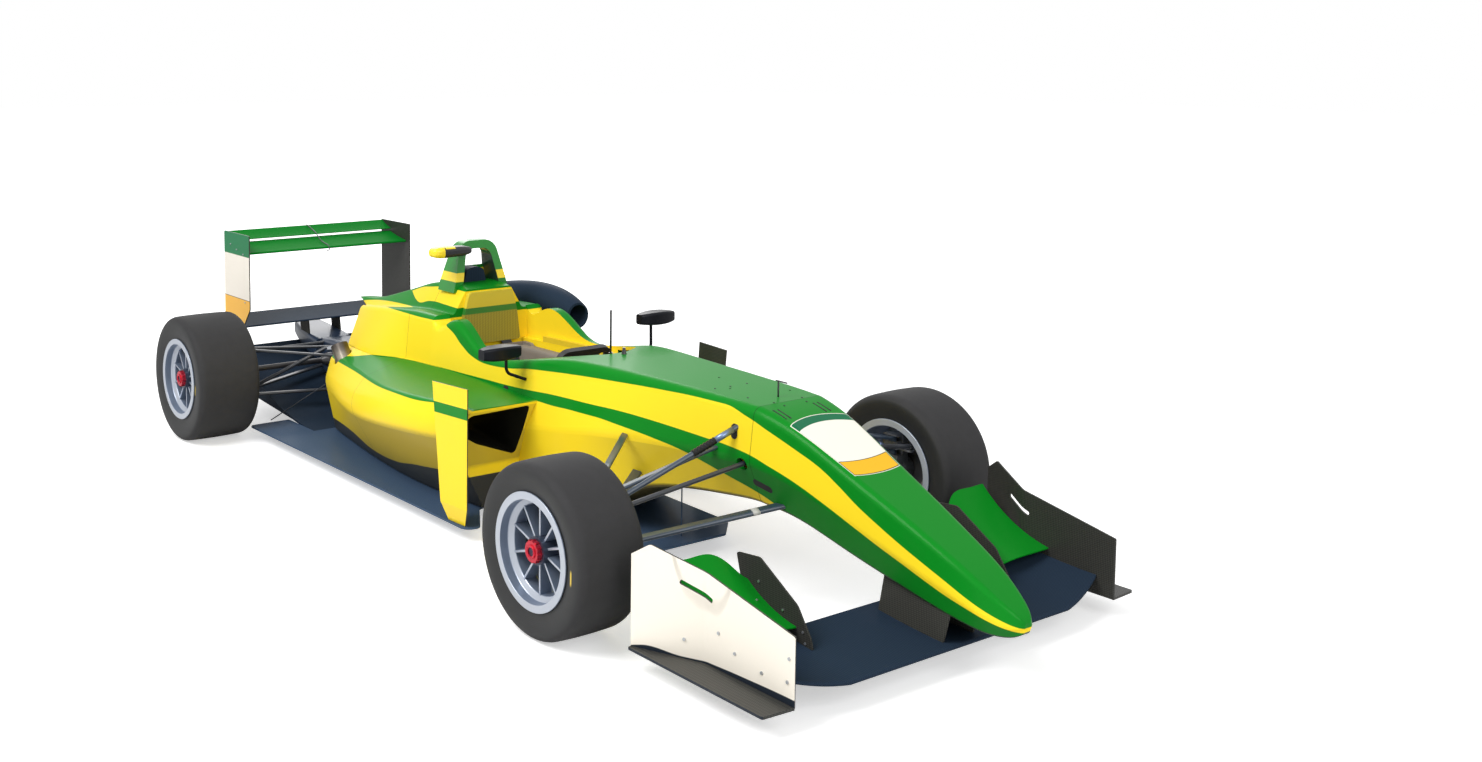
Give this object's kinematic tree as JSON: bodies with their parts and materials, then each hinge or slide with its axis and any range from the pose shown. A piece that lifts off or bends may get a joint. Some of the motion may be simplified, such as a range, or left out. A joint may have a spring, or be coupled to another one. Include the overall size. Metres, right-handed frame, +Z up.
{
  "type": "open wheel racing car",
  "caption": "Single-seat open wheel racing car: tapering tub and nose, open cockpit, sidepods, front and rear wings, flat floor and exposed wheels that spin and steer.",
  "frame": {"origin": "on the ground, on the centre plane, midway between the nose's tip and the tail", "axes": "+X forwards along the car, +Y to the car's left, +Z up"},
  "size_m": [4.4, 1.8382, 0.983],
  "materials": {
    "painted_bodywork": "gloss",
    "yellow_paint": "gloss",
    "blue_grey_composite": "gloss",
    "woven_composite": "satin",
    "endplate_paint": "gloss",
    "black_composite": "gloss",
    "tyre": "matte",
    "wheel_metal": "satin",
    "upright_metal": "satin",
    "steel_arm": "satin",
    "exhaust_steel": "satin",
    "cast_casing": "satin",
    "padding": "matte",
    "grip_plastic": "matte"
  },
  "bodies": {
    "chassis": {"nose_cone": "painted_bodywork", "monocoque": "painted_bodywork", "headrest": "padding", "dashboard": "grip_plastic", "roll_hoop": "painted_bodywork", "camera_pod": "yellow_paint", "engine_cover": "painted_bodywork", "sidepod_right": "painted_bodywork", "sidepod_left": "painted_bodywork", "air_box": "blue_grey_composite", "exhaust_pipe": "exhaust_steel", "floor": "blue_grey_composite", "diffuser": "blue_grey_composite", "sidepod_vanes": "yellow_paint", "front_wing_main": "blue_grey_composite", "front_wing_flaps": "painted_bodywork", "front_endplates": "endplate_paint", "nose_pylons": "woven_composite", "rear_wing_main": "painted_bodywork", "rear_wing_flap": "painted_bodywork", "rear_endplates": "woven_composite", "beam_wing": "blue_grey_composite", "wing_pylons": "woven_composite", "engine": "cast_casing", "gearbox": "cast_casing", "mirrors": "black_composite", "aerials": "black_composite", "seat": "grip_plastic", "cockpit_padding": "padding", "front_suspension": "steel_arm", "rear_suspension": "steel_arm", "rear_uprights": "upright_metal"},
    "upright_right": {"front_upright_right": "upright_metal"},
    "upright_left": {"front_upright_left": "upright_metal"},
    "rack": {"steering_rack": "steel_arm"},
    "hand_wheel": {"steering_wheel": "grip_plastic"},
    "wheel_front_right": {"front_rim_right": "wheel_metal", "front_tyre_right": "tyre"},
    "wheel_front_left": {"front_rim_left": "wheel_metal", "front_tyre_left": "tyre"},
    "wheel_rear_right": {"rear_rim_right": "wheel_metal", "rear_tyre_right": "tyre"},
    "wheel_rear_left": {"rear_rim_left": "wheel_metal", "rear_tyre_left": "tyre"}
  },
  "joints": [
    {"name": "steer_right", "type": "hinge", "parent": "chassis", "child": "upright_right", "pos_m": [1.1, -0.7, 0.3], "axis": [0, 0, 1], "range_deg": [-16, 16]},
    {"name": "steer_left", "type": "hinge", "parent": "chassis", "child": "upright_left", "pos_m": [1.1, 0.7, 0.3], "axis": [0, 0, 1], "range_deg": [-16.5, 16.5]},
    {"name": "rack_slide", "type": "slide", "parent": "chassis", "child": "rack", "axis": [0, 1, 0], "range_m": [-0.0245, 0.0245]},
    {"name": "hand_wheel_turn", "type": "hinge", "parent": "chassis", "child": "hand_wheel", "pos_m": [0.17, 0, 0.575], "axis": [-0.9397, 0, 0.342], "range_deg": [-161, 161]},
    {"name": "spin_front_right", "type": "hinge", "parent": "upright_right", "child": "wheel_front_right", "pos_m": [1.1, -0.7975, 0.275], "axis": [0, 1, 0], "continuous": true},
    {"name": "spin_front_left", "type": "hinge", "parent": "upright_left", "child": "wheel_front_left", "pos_m": [1.1, 0.7975, 0.275], "axis": [0, 1, 0], "continuous": true},
    {"name": "spin_rear_right", "type": "hinge", "parent": "chassis", "child": "wheel_rear_right", "pos_m": [-1.7, -0.77, 0.287], "axis": [0, 1, 0], "continuous": true},
    {"name": "spin_rear_left", "type": "hinge", "parent": "chassis", "child": "wheel_rear_left", "pos_m": [-1.7, 0.77, 0.287], "axis": [0, 1, 0], "continuous": true}
  ],
  "couplings": [
    {"joint": "steer_left", "follows": "steer_right", "ratio": 1},
    {"joint": "rack_slide", "follows": "steer_right", "m_per_rad": 0.085},
    {"joint": "hand_wheel_turn", "follows": "steer_right", "ratio": 10}
  ]
}
